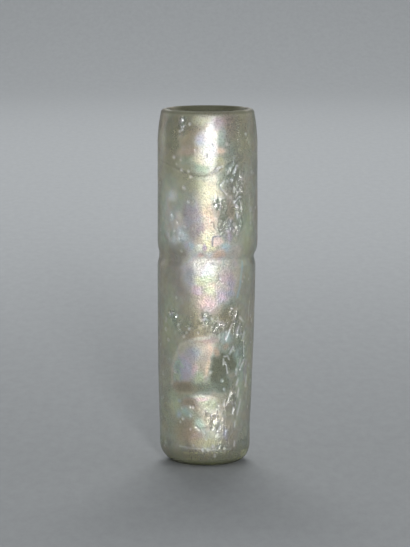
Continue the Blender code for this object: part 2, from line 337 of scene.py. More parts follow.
LOWER_PATCHES = [
    (-38, 63.0, 3.4, 5.4, 0, 0.8, 0.46, 0.46, 0.44),
    (-31, 57.6, 2.4, 5.0, 0, 0.8, 0.46, 0.46, 0.36),
    (-17, 60.6, 3.2, 5.0, 0, 0.6, 0.01, 0.96, 0.0),
    (-21, 59.4, 2.0, 2.6, 0, 0.8, 0.54, 0.66, 0.0),
    (2, 61.6, 3.2, 2.5, 0, 0.4, 0.01, 1.00, 0.0),
    (25, 63.2, 2.0, 1.6, 0, 0.6, 0.66, 0.78, 0.0),
    (34, 63.2, 1.1, 0.9, 0, 0.6, 0.46, 0.74, 0.0),
    (27, 58.6, 4.4, 6.2, 0, 0.6, 0.05, 0.74, 0.0),
    (22, 59.6, 2.0, 2.6, 0, 0.7, 0.39, 0.78, 0.0),
    (29, 57.2, 1.5, 2.8, 0, 0.6, 0.47, 0.80, 0.0),
    (-2, 58.2, 3.6, 1.6, 0, 0.6, 0.82, 0.86, 0.0),
    (10, 56.4, 2.4, 1.7, 0, 0.7, 0.93, 0.86, 0.0),
    (-11, 55.3, 1.9, 1.7, 0, 0.6, 0.41, 0.82, 0.0),
    (4, 55.3, 1.6, 1.4, 0, 0.6, 0.84, 0.92, 0.0),
    (3, 51.4, 4.0, 2.3, 0, 0.7, 0.37, 0.86, 0.0),
    (4, 48.2, 2.9, 1.7, 0, 0.9, 0.39, 0.56, 0.0),
    (26, 51.4, 2.5, 2.6, 0, 0.8, 0.68, 0.70, 0.0),
    (21, 53.8, 2.4, 2.6, 0, 0.7, 0.45, 0.92, 0.0),
    (30, 54.2, 1.8, 1.1, 0, 0.7, 0.55, 0.74, 0.0),
    (-15, 45.0, 3.4, 3.8, 0, 0.9, 0.27, 0.34, 0.14),
    (-19, 42.4, 4.4, 2.0, 10, 0.8, 0.27, 0.52, 0.42),
    (-50, 44.0, 3.0, 9.0, 0, 0.9, 0.80, 0.50, 0.03),
    (5, 44.6, 6.0, 3.0, 0, 0.8, 0.22, 0.56, 0.52),
    (28, 47.0, 3.6, 3.4, 0, 0.8, 0.22, 0.58, 0.74),
    (3, 39.9, 3.8, 1.3, 0, 0.7, 0.38, 0.60, 0.20),
    (-19, 36.4, 3.6, 2.9, -25, 0.5, 0.06, 0.60, 0.0),
    (-18, 35.4, 2.8, 2.2, -25, 0.7, 0.53, 0.62, 0.0),
    (-35, 30.2, 3.2, 5.2, 10, 0.5, 0.06, 0.60, 0.0),
    (-26, 31.2, 3.3, 4.6, 0, 0.4, 0.50, 0.78, 0.0),
    (-37, 30.0, 1.0, 3.6, 14, 0.7, 0.69, 0.52, 0.0),
    (-36, 28.0, 1.7, 2.2, 0, 0.9, 0.62, 0.60, 0.0),
    (-36, 28.0, 0.9, 1.3, 0, 0.6, 0.75, 0.62, 0.0),
    (2, 36.4, 2.3, 2.6, 0, 0.6, 0.29, 0.86, 0.08),
    (-1, 31.6, 1.8, 4.2, 0, 0.6, 0.93, 0.58, 0.26),
    (1, 32.0, 0.8, 3.8, 14, 0.6, 0.29, 0.74, 0.12),
    (-12, 30.8, 1.1, 2.0, 0, 0.6, 0.41, 0.82, 0.0),
    (-7, 28.4, 1.4, 2.6, 0, 0.6, 0.80, 0.58, 0.20),
    (24, 40.4, 2.4, 1.5, 0, 0.7, 0.62, 0.68, 0.0),
    (17, 31.2, 3.4, 6.2, 16, 0.35, 0.70, 0.86, 0.90),
    (22, 26.4, 3.0, 3.2, 0, 0.5, 0.70, 0.84, 0.86),
    (0, 25.6, 4.6, 1.8, 0, 0.6, 0.70, 0.70, 0.74),
    (14, 35.8, 1.1, 1.5, -20, 0.5, 0.30, 0.66, 0.35),
    (25, 37.8, 0.9, 0.9, 0, 0.6, 0.30, 0.66, 0.35),
    (36, 33.4, 2.6, 3.6, 0, 0.4, 0.70, 0.86, 0.92),
    (49, 27.0, 1.6, 8.5, 3, 0.8, 0.74, 0.60, 0.0),
    (45, 35.6, 2.0, 2.0, 0, 0.8, 0.68, 0.62, 0.0),
    (56, 30.0, 0.8, 3.0, 0, 0.7, 0.48, 0.52, 0.0),
    (-26, 25.2, 4.5, 1.8, 0, 0.5, 0.30, 0.78, 0.84),
    (-43, 19.6, 2.2, 3.2, 0, 0.7, 0.81, 0.62, 0.0),
    (-33, 20.8, 0.6, 0.6, 0, 0.6, 0.56, 0.80, 0.35),
    (-1, 19.6, 2.7, 2.6, 0, 0.6, 0.12, 0.80, 0.20),
    (9, 19.9, 2.2, 1.9, 0, 0.6, 0.83, 0.84, 0.18),
    (-3, 22.3, 3.4, 0.9, 0, 0.4, 0.06, 0.92, 0.0),
    (-3, 21.7, 2.2, 0.6, 0, 0.6, 0.37, 1.00, 0.0),
    (-19, 19.6, 2.8, 2.0, 0, 0.6, 0.33, 0.74, 0.68),
    (-23, 17.0, 2.4, 2.0, -20, 0.7, 0.70, 0.72, 0.0),
    (-35, 16.4, 1.2, 1.4, 0, 0.7, 0.60, 0.72, 0.0),
    (17, 14.8, 4.0, 4.0, 0, 0.7, 0.10, 0.86, 0.04),
    (-7, 13.3, 2.1, 2.1, -30, 0.6, 0.71, 0.78, 0.0),
    (-25, 11.4, 3.6, 3.8, 0, 0.6, 0.27, 0.60, 0.52),
    (-13, 10.0, 2.4, 2.0, 0, 0.7, 0.31, 0.66, 0.34),
    (25, 10.2, 1.1, 1.8, 0, 0.7, 0.53, 0.64, 0.0),
    (3, 8.2, 4.6, 1.3, 0, 0.6, 0.18, 0.64, 0.38),
]

# Hairlines in the film: a run of places, half width, film, cover and dirt
FILM_LINES = [
    ([(5.4, 69.2), (5.6, 71.2), (6.9, 72.0), (20.6, 72.1), (21.3, 70.2)], 0.20, 0.50, 0.9, 0.55),
    ([(-41.0, 31.0), (-38.0, 32.8), (-33.0, 33.2), (-28.0, 31.4)], 0.22, 0.70, 0.7, 0.0),
    ([(-41.0, 28.6), (-38.5, 30.4), (-34.5, 30.6), (-31.5, 28.6)], 0.22, 0.75, 0.7, 0.0),
    ([(4.4, 76.5), (6.9, 76.3), (7.5, 74.7)], 0.20, 0.30, 0.8, 0.6),
    ([(48, 63.5), (45, 60.0), (43, 56.0), (39, 53.0)], 0.35, 0.64, 0.8, 0.0),
    ([(-45, 26.0), (-43, 32.0), (-32, 38.2), (-14, 40.3), (4, 40.9)], 0.40, 0.05, 0.62, 0.0),
    ([(42, 35.0), (43, 32.0), (40, 29.6)], 0.35, 0.71, 0.8, 0.0),
    ([(56, 84.0), (57, 80.5), (59, 75.0)], 0.16, 0.05, 0.6, 0.0),
    ([(62, 51.0), (60, 45.0)], 0.16, 0.05, 0.6, 0.0),
    ([(57, 33.0), (56, 27.5)], 0.16, 0.05, 0.6, 0.0),
    ([(-34, 6.7), (-20, 6.3), (-6, 6.1), (12, 5.8), (35, 5.6)], 0.20, 0.04, 0.62, 0.0),
]

# Crinkled veins of flaked glass down the right of the front
VEINS = [
    ([(18, 91.0), (29, 93.5), (37, 89.0), (40, 83.0), (37, 78.0), (35, 74.5)], 2.8),
    ([(12, 82.0), (20, 78.5), (18, 75.0)], 2.4),
    ([(-2, 46.5), (12, 44.0), (33, 49.0), (43, 42.0), (47, 38.5)], 2.6),
    ([(47, 38.5), (34, 37.2)], 1.6),
    ([(49, 36.0), (46, 25.0), (35, 20.5)], 2.2),
    ([(35, 20.5), (28, 14.5), (22, 7.8)], 2.8),
    ([(8, 17.5), (16, 11.0)], 2.6),
    ([(-31.0, 107.2), (-31.5, 103.6)], 1.5),
    ([(-44, 48.0), (-30, 43.0), (-14, 45.0)], 1.8),
]

# Single pits that glint: turn, height, radius
PITS = [
    (-31.4, 107.2, 0.60),
    (-29.2, 105.5, 0.35),
    (-30.9, 104.4, 0.50),
    (-34.2, 103.8, 0.40),
    (-41.2, 95.9, 0.55),
    (-30.8, 92.1, 0.50),
    (-19.2, 90.2, 0.40),
    (-27.8, 86.8, 0.55),
    (-44.6, 78.2, 0.50),
    (-22, 82.6, 0.40),
    (-33.9, 71.2, 0.45),
    (-31.3, 67.3, 0.35),
    (50, 102.8, 0.45),
    (36.4, 93.3, 0.50),
    (23.5, 91.5, 0.40),
    (28.4, 89.2, 0.45),
    (42.2, 89.0, 0.45),
    (42.5, 87.9, 0.40),
    (22.8, 88.8, 0.40),
    (40.3, 83.7, 0.45),
    (26.4, 83.8, 0.40),
    (31.7, 82.0, 0.40),
    (34.4, 80.8, 0.45),
    (59.0, 79.5, 0.50),
    (33.5, 74.6, 0.45),
    (30.6, 73.5, 0.40),
    (22.1, 73.6, 0.40),
    (-46.6, 47.5, 0.55),
    (-36.4, 47.2, 0.45),
    (-34.5, 44.7, 0.40),
    (-1.4, 46.7, 0.45),
    (2.1, 46.2, 0.35),
    (6.2, 46.7, 0.40),
    (30.8, 49.6, 0.50),
    (36.5, 48.6, 0.45),
    (23.7, 32.8, 0.38),
    (41.1, 30.5, 0.45),
    (20.7, 27.3, 0.45),
    (-33, 43.0, 0.40),
    (-27, 41.0, 0.40),
    (-20, 43.5, 0.45),
    (-18, 19.2, 0.45),
    (-2.3, 5.7, 0.40),
    (4, 6.1, 0.45),
    (10.3, 7.0, 0.45),
    (18.1, 6.6, 0.40),
    (12.7, 3.8, 0.40),
]


# Scratches and flake edges that glint: a run of places and half a width
STROKES = [
    ([(35.7, 93.4), (30.5, 91.0)], 0.34),
    ([(18.6, 88.8), (14.4, 87.9), (15.2, 86.6), (22.0, 84.8)], 0.24),
    ([(32.0, 86.9), (31.4, 85.4)], 0.34),
    ([(37.4, 85.3), (34.8, 84.2)], 0.32),
    ([(41.0, 83.9), (37.4, 83.5), (34.8, 82.5), (31.1, 82.5)], 0.30),
    ([(34.9, 81.6), (35.8, 80.5)], 0.30),
    ([(34.9, 79.4), (36.8, 77.2)], 0.34),
    ([(41, 82.6), (43, 79.4)], 0.26),
    ([(-33.6, 70.9), (-32.4, 71.2)], 0.34),
    ([(-43.6, 78.0), (-41.8, 77.5)], 0.32),
    ([(-37.2, 76.4), (-36.0, 76.0)], 0.26),
    ([(-40.8, 73.2), (-39.6, 73.7)], 0.28),
    ([(32.9, 44.9), (23.4, 40.0)], 0.30),
    ([(43.0, 43.7), (38.9, 40.6)], 0.30),
    ([(52.5, 41.7), (49.7, 39.6)], 0.32),
    ([(43.9, 46.7), (49.1, 45.3)], 0.26),
    ([(35.1, 37.7), (30.0, 35.6)], 0.32),
    ([(21.6, 32.2), (21.9, 34.0)], 0.20),
    ([(22.6, 34.8), (27.0, 35.0), (29.6, 33.8)], 0.20),
    ([(25.6, 32.4), (27.6, 29.6)], 0.20),
    ([(53.8, 33.2), (46.9, 30.2)], 0.30),
    ([(41.5, 30.1), (40.4, 28.9)], 0.32),
    ([(44.2, 27.2), (42.0, 25.5)], 0.34),
    ([(46.0, 24.3), (44.1, 21.9)], 0.34),
    ([(33.1, 23.8), (30.5, 21.1), (27.6, 19.6), (22.5, 19.7), (25.5, 21.2)], 0.32),
    ([(38.4, 18.5), (37.0, 16.5)], 0.30),
    ([(50.3, 20.6), (44.6, 16.3)], 0.26),
    ([(41.9, 14.2), (40.8, 12.6)], 0.30),
    ([(20.4, 13.3), (16.5, 11.4)], 0.30),
    ([(41.3, 7.9), (40.8, 6.5)], 0.26),
    ([(-11.3, 13.0), (-6.2, 12.1)], 0.28),
    ([(60.8, 27.9), (59.6, 24.8)], 0.34),
    ([(-5, 46.4), (1, 46.5)], 0.28),
    ([(47, 33.5), (45, 31.5)], 0.26),
    ([(4, 91.2), (12, 92.2)], 0.24),
    ([(8, 92.5), (17, 93.3)], 0.24),
    ([(52, 39.0), (54, 34.5)], 0.24),
]

# Bands where the film lifts in pearly flakes: a run of places and a width
FLAKED = [
    ([(-45, 84.0), (-44, 79.0), (-36, 74.5), (-24, 69.5)], 2.2),
    ([(-48, 72.0), (-42, 71.0)], 1.8),
]


def worn_edge(turn, height):
    """A shift of a few tenths of a millimetre, both ways, that roughens the patches' outlines."""
    across = 0.9 * layered(turn, height, 5.0, 5.0, 301) + 0.35 * layered(turn, height, 1.3, 1.3, 311)
    up = 0.9 * layered(turn, height, 5.0, 5.0, 321) + 0.35 * layered(turn, height, 1.3, 1.3, 331)
    return across, up


def run_distance(turn, height, run):
    """Millimetres over the wall from a run of straight stretches between places."""
    nearest = np.full(turn.shape, np.inf)
    for (turn_a, height_a), (turn_b, height_b) in zip(run, run[1:]):
        across, up = turn_distance(turn, turn_a), height - height_a
        run_x, run_y = turn_distance(np.array(turn_b), turn_a), height_b - height_a
        share = np.clip((across * run_x + up * run_y) / (run_x**2 + run_y**2), 0.0, 1.0)
        nearest = np.minimum(nearest, np.hypot(across - share * run_x, up - share * run_y))
    return nearest


def hidden_patches():
    """Patches for the sides and back, of the same kinds as on the front, strewn by a seeded draw."""
    draw = np.random.default_rng(77)
    for _ in range(64):
        turn, height = draw.uniform(95.0, 265.0), draw.uniform(6.0, 105.0)
        size = draw.uniform(1.0, 4.2)
        tall = size * draw.uniform(0.8, 2.2)
        film, cover = draw.uniform(0.0, 1.0), draw.uniform(0.2, 0.7)
        dirt_and_shade = draw.choice([0.0, 0.0, 0.0, 0.15])
        yield turn, height, size, tall, draw.uniform(-25.0, 25.0), 0.7, film, cover, dirt_and_shade


def film_tint(film, vivid):
    """The film's colour from its thickness, pale as the veil where it is not vivid."""
    steps = [position for position, _ in FILM_COLOURS]
    colour = [np.interp(film, steps, [step[channel] for _, step in FILM_COLOURS]) for channel in range(3)]
    return [veil + (pure - veil) * vivid for veil, pure in zip(VEIL_COLOUR, colour)]


def film_fields(turn, height):
    """Tint, cover, dirt and painted shade, grain, crinkle and glints over the outside of the bottle.

    They start as a haze, and each patch is painted over the ones before it: an ellipse whose outline is
    roughened and softened. Then come the hairlines, the fold, the foot with its very bottom edge painted
    dark as painted shade, the veins with their ridges painted silver as a painted highlight, the glints
    painted silver as painted highlights, the pale flakes, and the rim painted dark as painted shade.
    """
    haze = 0.55 + 0.4 * layered(turn, height, 9.0, 16.0, 11)
    tint = film_tint(haze, 0.14 + 0.14 * layered(turn, height, 7.0, 10.0, 61))
    cover = 0.46 + 0.08 * layered(turn, height, 4.0, 7.0, 21)
    dirt_and_shade = 0.10 + 0.10 * layered(turn, height, 6.0, 9.0, 31)
    coats = [*tint, cover, dirt_and_shade]

    def paint(share, film, patch_cover, patch_dirt_and_shade):
        vivid = max(PATCH_VIVID * smooth_step(patch_cover, 0.2, 0.6), 1.0 - smooth_step(film, 0.02, 0.10))
        for coat, value in zip(coats, [*film_tint(film, vivid), patch_cover, patch_dirt_and_shade]):
            coat += (value - coat) * share

    shift_x, shift_y = worn_edge(turn, height)
    for patch in [*hidden_patches(), *UPPER_PATCHES, *LOWER_PATCHES]:
        centre, level, half_width, half_height, tilt, soft, film, patch_cover, patch_dirt_and_shade = patch
        across = turn_distance(turn, centre) + shift_x
        up = height - level + shift_y
        lean = math.radians(tilt)
        x = across * math.cos(lean) - up * math.sin(lean)
        y = across * math.sin(lean) + up * math.cos(lean)
        reach = np.hypot(x / half_width, y / half_height)
        paint(1.0 - smooth_step(reach, 1.0 - soft, 1.0 + soft), film, patch_cover, patch_dirt_and_shade)
    for run, half_width, film, line_cover, line_dirt in FILM_LINES:
        share = 1.0 - smooth_step(run_distance(turn, height, run), 0.5 * half_width, 2.0 * half_width)
        paint(share, film, line_cover, line_dirt)
    fold = fold_share(turn, height - fold_height(turn), 0.3)
    dirt_and_shade += (0.5 - dirt_and_shade) * fold
    cover *= 1.0 + 0.18 * layered(turn, height, 1.2, 1.6, 51)
    paint(0.8 * (1.0 - smooth_step(height, 3.6, 7.0)), 0.14, 0.42, 0.34)
    # The very bottom edge is painted dark: painted shade for the dark edge of the thick base.
    paint(1.0 - smooth_step(height, 0.8, 2.6), 0.72, 0.35, 1.0)
    vein = vein_share(turn, height)
    ridge = smooth_step(crinkle_ridge(turn, height), 0.3, 0.95)
    paint(0.75 * vein * (1.0 - ridge) * smooth_step(height, 18.0, 24.0), 0.70, 0.58, 0.66)
    # The crinkles' ridges, raised in the relief, are also painted silver: a painted highlight for their glints.
    paint(0.90 * vein * ridge, 0.0, 0.92, 0.0)
    # Scratches, flake edges and pits, cut into the relief, are also painted silver: painted glints.
    glints = np.maximum(stroke_share(turn, height), pit_share(turn, height))
    paint(glints, 0.0, 0.95, 0.0)
    flaked = 0.9 * flaked_share(turn, height)
    paint(flaked, 0.0, 0.90, 0.0)
    paint(0.4 * flaked, 0.68, 0.90, 0.0)
    # The rim is painted dark with full cover: painted shade on the crest, most of it at the front and the back.
    rim_shade = smooth_step(height, LIP_BASE - 0.6, HEIGHT - 0.5) * rim_painted_shade(turn)
    cover += (0.94 - cover) * rim_shade
    dirt_and_shade += (0.90 - dirt_and_shade) * rim_shade
    from_front = (turn + 180.0) % 360.0 - 180.0
    worked = smooth_step(from_front, -32.0, -10.0) * (1.0 - smooth_step(from_front, 28.0, 50.0))
    strewn = smooth_step(layered(turn, height, 14.0, 22.0, 151), -0.2, 0.4)
    return {
        "tint": np.stack([*tint, np.ones(turn.shape)], axis=-1),
        "cover": np.clip(cover, 0.0, 1.0),
        "dirt_and_shade": np.clip(dirt_and_shade, 0.0, 1.0),
        "grain": (0.2 + 0.8 * np.maximum(worked, 0.7 * strewn)) * smooth_step(height, -12.0, 12.0),
        "crinkle": vein,
        "glints": np.maximum(glints, flaked),
    }


def flaked_share(turn, height):
    """How much a place lies in a band of pearly flakes, from 0 to 1, broken up by a seeded noise."""
    share = np.zeros(turn.shape)
    for run, width in FLAKED:
        share = np.maximum(share, np.exp(-((run_distance(turn, height, run) / width) ** 2)))
    return share * smooth_step(layered(turn, height, 1.8, 3.0, 171), -0.5, 0.4)


def rim_painted_shade(turn):
    """How much of the rim's painted shade is kept, from 0 to 1: most of it at the front and the back."""
    broken = layered(turn, np.full(turn.shape, HEIGHT), 7.0, 9.0, 161)
    side = np.abs(np.sin(np.radians(turn)))
    return np.clip(1.0 - smooth_step(side, 0.75, 1.0) * (0.45 + 0.5 * broken), 0.0, 1.0)


def vein_share(turn, height):
    """How much a place lies in a crinkled vein, from 0 to 1."""
    share = np.zeros(turn.shape)
    for run, width in VEINS:
        share = np.maximum(share, np.exp(-((run_distance(turn, height, run) / width) ** 2)))
    return share * smooth_step(layered(turn, height, 2.4, 3.6, 141), -0.6, 0.05)


def crinkle_ridge(turn, height):
    """Crinkles of flaked glass, from -3 in the hollows to 1 on the ridges, slanting round the wall."""
    slant = turn - np.degrees(0.5 * height / BODY_RADIUS)
    return 1.0 - 4.0 * np.abs(layered(slant, height, 1.5, 3.6, 91, 2))


def stroke_share(turn, height):
    """How much a place lies in a scratch or a flake's edge, from 0 to 1."""
    share = np.zeros(turn.shape)
    for run, half_width in STROKES:
        share = np.maximum(share, np.exp(-((run_distance(turn, height, run) / half_width) ** 2)))
    return share


def fold_height(turn):
    """Height of the fold line that sags across the front of the upper tube."""
    from_low = (turn + 6.0 + 180.0) % 360.0 - 180.0
    reach = np.where(from_low > 0.0, 28.0, 40.0)
    return 90.3 + 4.5 * (1.0 - np.exp(-((from_low / reach) ** 2)))


def fold_share(turn, above, reach):
    """How much a place lies in the fold line, from its height above the line and the line's reach."""
    front = 1.0 - smooth_step(np.abs((turn + 186.0) % 360.0 - 180.0), 30.0, 75.0)
    return front * np.exp(-((above / reach) ** 2))


def pit_places():
    """The single pits, then many small ones strewn thickly round the bottle by a seeded draw."""
    draw = np.random.default_rng(5)
    yield from PITS
    for _ in range(150):
        yield draw.uniform(0.0, 360.0), draw.uniform(5.0, 107.0), draw.uniform(0.22, 0.5)


def pit_share(turn, height):
    """How much a place lies in a pit, from 0 to 1."""
    share = np.zeros(turn.shape)
    for centre, level, radius in pit_places():
        distance = np.hypot(turn_distance(turn, centre), height - level) / radius
        share = np.maximum(share, np.exp(-(distance**2)))
    return share


def outside_relief(turn, height, cover):
    """Relief of the outside in millimetres: soft dents, veins, scratches, pits, the fold and the film.

    A pit is a round hollow half as deep as its radius, with a low raised rim.
    """
    relief = 0.09 * layered(turn, height, 9.0, 15.0, 61) + 0.02 * layered(turn, height, 2.2, 3.0, 71)
    side = smooth_step(np.abs((turn + 180.0) % 360.0 - 180.0), 35.0, 60.0)
    relief += 0.045 * side * layered(turn, height, 1.7, 13.0, 81)
    relief += 0.13 * vein_share(turn, height) * np.maximum(crinkle_ridge(turn, height), -0.8)
    relief -= 0.26 * stroke_share(turn, height)
    above = height - fold_height(turn)
    relief += 0.06 * fold_share(turn, above - 0.7, 0.5) - 0.12 * fold_share(turn, above, 0.35)
    for centre, level, radius in pit_places():
        distance = np.hypot(turn_distance(turn, centre), height - level) / radius
        near = distance < 2.2
        hollow = 0.1 * np.exp(-(((distance[near] - 1.3) / 0.35) ** 2)) - 0.55 * np.exp(-(distance[near] ** 2))
        relief[near] += radius * hollow
    return np.clip(relief + 0.04 * cover, -0.35, 0.10)


def inside_relief(turn, height):
    """Relief of the inside in millimetres: the slow waves of the blown wall."""
    return 0.10 * layered(turn, height, 10.0, 16.0, 101) + 0.03 * layered(turn, height, 2.6, 12.0, 111)


def even_turns(count):
    """Turns round the bottle in degrees, a little closer together on the front."""
    share = np.arange(count) / count * math.tau
    return np.degrees(share - FRONT_CLOSER * np.sin(share))


def skin(name, turns, rows, gap):
    """A closed skin round the whole glass: the section carried round the axis, one column to a turn.

    Each point stands off the section along its normal by the relief, less the inset, plus the gap. The
    first and last rings close on the axis in one point each. The film's fields go in as attributes.
    """
    points, outside = section(*rows)
    normal = section_normals(points)
    turn = np.broadcast_to(even_turns(turns)[None, :], (len(points), turns)).copy()
    height = np.broadcast_to(points[:, 1:2], turn.shape).copy()
    out = np.broadcast_to(outside[:, None], turn.shape)
    fields = film_fields(turn, height)
    wall = smooth_step(height, 2.5, BASE_ROUND + 1.0) * (1.0 - smooth_step(height, LIP_BASE - 1.0, HEIGHT))
    relief = np.where(out > 0.5, outside_relief(turn, height, fields["cover"]), inside_relief(turn, height))
    foot_inset = GLASS_INSET - 0.1 * (1.0 - smooth_step(height, 0.0, BASE_ROUND))
    lip_inset = GLASS_INSET * smooth_step(height, LIP_BASE - LIP_SWELL, LIP_BASE)
    inset = np.where(out > 0.5, foot_inset, lip_inset)
    off = relief * wall - inset + gap
    radius = points[:, 0:1] + normal[:, 0:1] * off
    level = points[:, 1:2] + normal[:, 1:2] * off
    radius[0], radius[-1] = 0.0, 0.0
    oval = np.cos(2.0 * np.radians(turn - 90.0 - ROUND_TURN))
    radius += OUT_OF_ROUND * oval * np.minimum(radius / BODY_RADIUS, 1.0)
    angle = np.radians(turn)
    x = radius * np.sin(angle) + axis_offset(level)
    y = -radius * np.cos(angle)
    grid = np.stack([x, y, level], axis=2) * MM
    # Painted shade inside the mouth, strongest on the far side, and on the crest of the rim: dark film that darkens
    # the mouth and the crest.
    far = 1.0 - smooth_step(np.abs(turn - 180.0), 38.0, 60.0)
    mouth_shade = (0.2 + 0.8 * far) * smooth_step(height, LIP_BASE - 7.0, LIP_BASE - 3.0)
    crest = smooth_step(height, LIP_BASE - 0.3, HEIGHT - 0.7) * rim_painted_shade(turn)
    mouth_shade = mouth_shade * (1.0 - crest)
    clear = np.zeros(turn.shape)
    haze = film_tint(0.5 + 0.5 * layered(turn, height, 7.0, 12.0, 121), 0.2)
    within = {
        "tint": np.stack([*haze, np.ones(turn.shape)], axis=-1),
        "cover": np.clip(0.10 + 0.12 * layered(turn, height, 3.0, 6.0, 131) + 0.65 * mouth_shade + 0.84 * crest, 0.0, 1.0),
        "dirt_and_shade": 0.15 + 0.85 * mouth_shade + (0.70 + 0.15 * far) * crest,
        "grain": clear + 0.3,
        "crinkle": clear,
        "glints": clear,
    }
    piece = closed_skin(name, grid)
    for key, field in fields.items():
        inner = (out <= 0.5).reshape(out.shape + (1,) * (field.ndim - 2))
        field = np.where(inner, within[key], field)
        tail = field.shape[2:]
        ends = [field[0].mean(axis=0)[None], field[1:-1].reshape((-1, *tail)), field[-1].mean(axis=0)[None]]
        values = np.concatenate(ends).astype(np.float32).ravel()
        kind, slot = ("FLOAT_COLOR", "color") if tail else ("FLOAT", "value")
        piece.data.attributes.new(key, kind, "POINT").data.foreach_set(slot, values)
    return piece


def closed_skin(name, grid):
    """A mesh object from a grid of rings: quads between rings and fans to the two end points."""
    rings, turns = grid.shape[0] - 2, grid.shape[1]
    coords = np.vstack([grid[0].mean(axis=0), grid[1:-1].reshape(-1, 3), grid[-1].mean(axis=0)])
    first = 1 + np.arange(rings)[:, None] * turns + np.arange(turns)[None, :]
    after = np.roll(first, -1, axis=1)
    quads = np.stack([first[:-1], first[1:], after[1:], after[:-1]], axis=2).reshape(-1, 4)
    start = np.stack([np.zeros(turns, int), first[0], after[0]], axis=1)
    end = np.stack([np.full(turns, len(coords) - 1), after[-1], first[-1]], axis=1)
    mesh = bpy.data.meshes.new(name)
    mesh.vertices.add(len(coords))
    mesh.vertices.foreach_set("co", coords.ravel())
    corners = np.concatenate([start.ravel(), quads.ravel(), end.ravel()])
    sizes = np.concatenate([np.full(turns, 3), np.full(len(quads), 4), np.full(turns, 3)])
    mesh.loops.add(len(corners))
    mesh.loops.foreach_set("vertex_index", corners.astype(np.int32))
    mesh.polygons.add(len(sizes))
    mesh.polygons.foreach_set("loop_start", (np.cumsum(sizes) - sizes).astype(np.int32))
    mesh.update(calc_edges=True)
    mesh.validate()
    mesh.shade_smooth()
    piece = bpy.data.objects.new(name, mesh)
    bpy.context.scene.collection.objects.link(piece)
    return piece


def add_node(tree, kind, values=None, **settings):
    """A node with its settings, and plain values for the sockets that are named."""
    made = tree.nodes.new(kind)
    for key, value in settings.items():
        setattr(made, key, value)
    for key, value in (values or {}).items():
        made.inputs[key].default_value = value
    return made


def math_node(tree, operation, first, second):
    """A math node on two values, each a socket or a number."""
    made = tree.nodes.new("ShaderNodeMath")
    made.operation = operation
    for slot, value in zip(made.inputs, (first, second)):
        if isinstance(value, (int, float)):
            slot.default_value = value
        else:
            tree.links.new(value, slot)
    return made.outputs[0]


def mix_colour(tree, share, first, second):
    """A colour mixed from two, each a socket or a plain colour, by a share from 0 to 1."""
    made = add_node(tree, "ShaderNodeMix", data_type="RGBA")
    for key, value in (("Factor_Float", share), ("A_Color", first), ("B_Color", second)):
        slot = next(item for item in made.inputs if item.identifier == key)
        if isinstance(value, bpy.types.NodeSocket):
            tree.links.new(value, slot)
        else:
            slot.default_value = value
    return next(item for item in made.outputs if item.identifier == "Result_Color")


def noise(tree, vector, scale, detail=3.0, roughness=0.55):
    """The value of a noise texture, from 0 to 1, at a scale in cells per metre."""
    made = add_node(tree, "ShaderNodeTexNoise", {"Scale": scale, "Detail": detail, "Roughness": roughness})
    tree.links.new(vector, made.inputs["Vector"])
    return made.outputs["Fac"]


def ranged(tree, value, low_end, high_end, to_low=0.0, to_high=1.0):
    """A value carried from one range to another and kept within it."""
    made = add_node(tree, "ShaderNodeMapRange", interpolation_type="SMOOTHSTEP")
    for key, plain in zip(("From Min", "From Max", "To Min", "To Max"), (low_end, high_end, to_low, to_high)):
        made.inputs[key].default_value = plain
    tree.links.new(value, made.inputs["Value"])
    return made.outputs["Result"]


def flaking_group():
    """The fine break-up of weathered glass: specks of lost film, and the height of its grain.

    Grain is how many grains a metre holds.
    """
    tree = bpy.data.node_groups.new("flaking", "ShaderNodeTree")
    tree.interface.new_socket("Grain", in_out="INPUT", socket_type="NodeSocketFloat")
    tree.interface.new_socket("Specks", in_out="OUTPUT", socket_type="NodeSocketFloat")
    tree.interface.new_socket("Height", in_out="OUTPUT", socket_type="NodeSocketFloat")
    given = tree.nodes.new("NodeGroupInput")
    result = tree.nodes.new("NodeGroupOutput")
    place = tree.nodes.new("ShaderNodeTexCoord").outputs["Object"]
    grain = add_node(tree, "ShaderNodeTexNoise", {"Detail": 3.0, "Roughness": 0.55})
    tree.links.new(place, grain.inputs["Vector"])
    tree.links.new(given.outputs["Grain"], grain.inputs["Scale"])
    tree.links.new(ranged(tree, grain.outputs["Fac"], 0.34, 0.56), result.inputs["Specks"])
    tree.links.new(grain.outputs["Fac"], result.inputs["Height"])
    return tree


def crinkle_group():
    """Crinkled ridges of flaked glass, as a height that a share from 0 to 1 turns up: one less twice the
    distance of a noise from its middle, stretched upright."""
    tree = bpy.data.node_groups.new("crinkle", "ShaderNodeTree")
    tree.interface.new_socket("Share", in_out="INPUT", socket_type="NodeSocketFloat")
    tree.interface.new_socket("Height", in_out="OUTPUT", socket_type="NodeSocketFloat")
    given = tree.nodes.new("NodeGroupInput")
    result = tree.nodes.new("NodeGroupOutput")
    stretch = add_node(tree, "ShaderNodeMapping", {"Scale": (1.0, 1.0, 0.5), "Rotation": (0.0, 0.35, 0.0)})
    tree.links.new(tree.nodes.new("ShaderNodeTexCoord").outputs["Object"], stretch.inputs["Vector"])
    wave = noise(tree, stretch.outputs["Vector"], CRINKLE_CELLS, 1.0, 0.5)
    off = math_node(tree, "ABSOLUTE", math_node(tree, "SUBTRACT", wave, 0.5), 0.0)
    ridge = ranged(tree, off, 0.12, 0.0)
    tree.links.new(math_node(tree, "MULTIPLY", ridge, given.outputs["Share"]), result.inputs["Height"])
    return tree


def add_flaking(tree, group, grain):
    """The flaking group placed in a material, with its own grain."""
    made = tree.nodes.new("ShaderNodeGroup")
    made.node_tree = group
    made.inputs["Grain"].default_value = grain
    return made


def add_crinkle(tree, group):
    """The crinkle group placed in a material, turned up where the skin's veins run."""
    made = tree.nodes.new("ShaderNodeGroup")
    made.node_tree = group
    tree.links.new(field(tree, "crinkle"), made.inputs["Share"])
    return made.outputs["Height"]


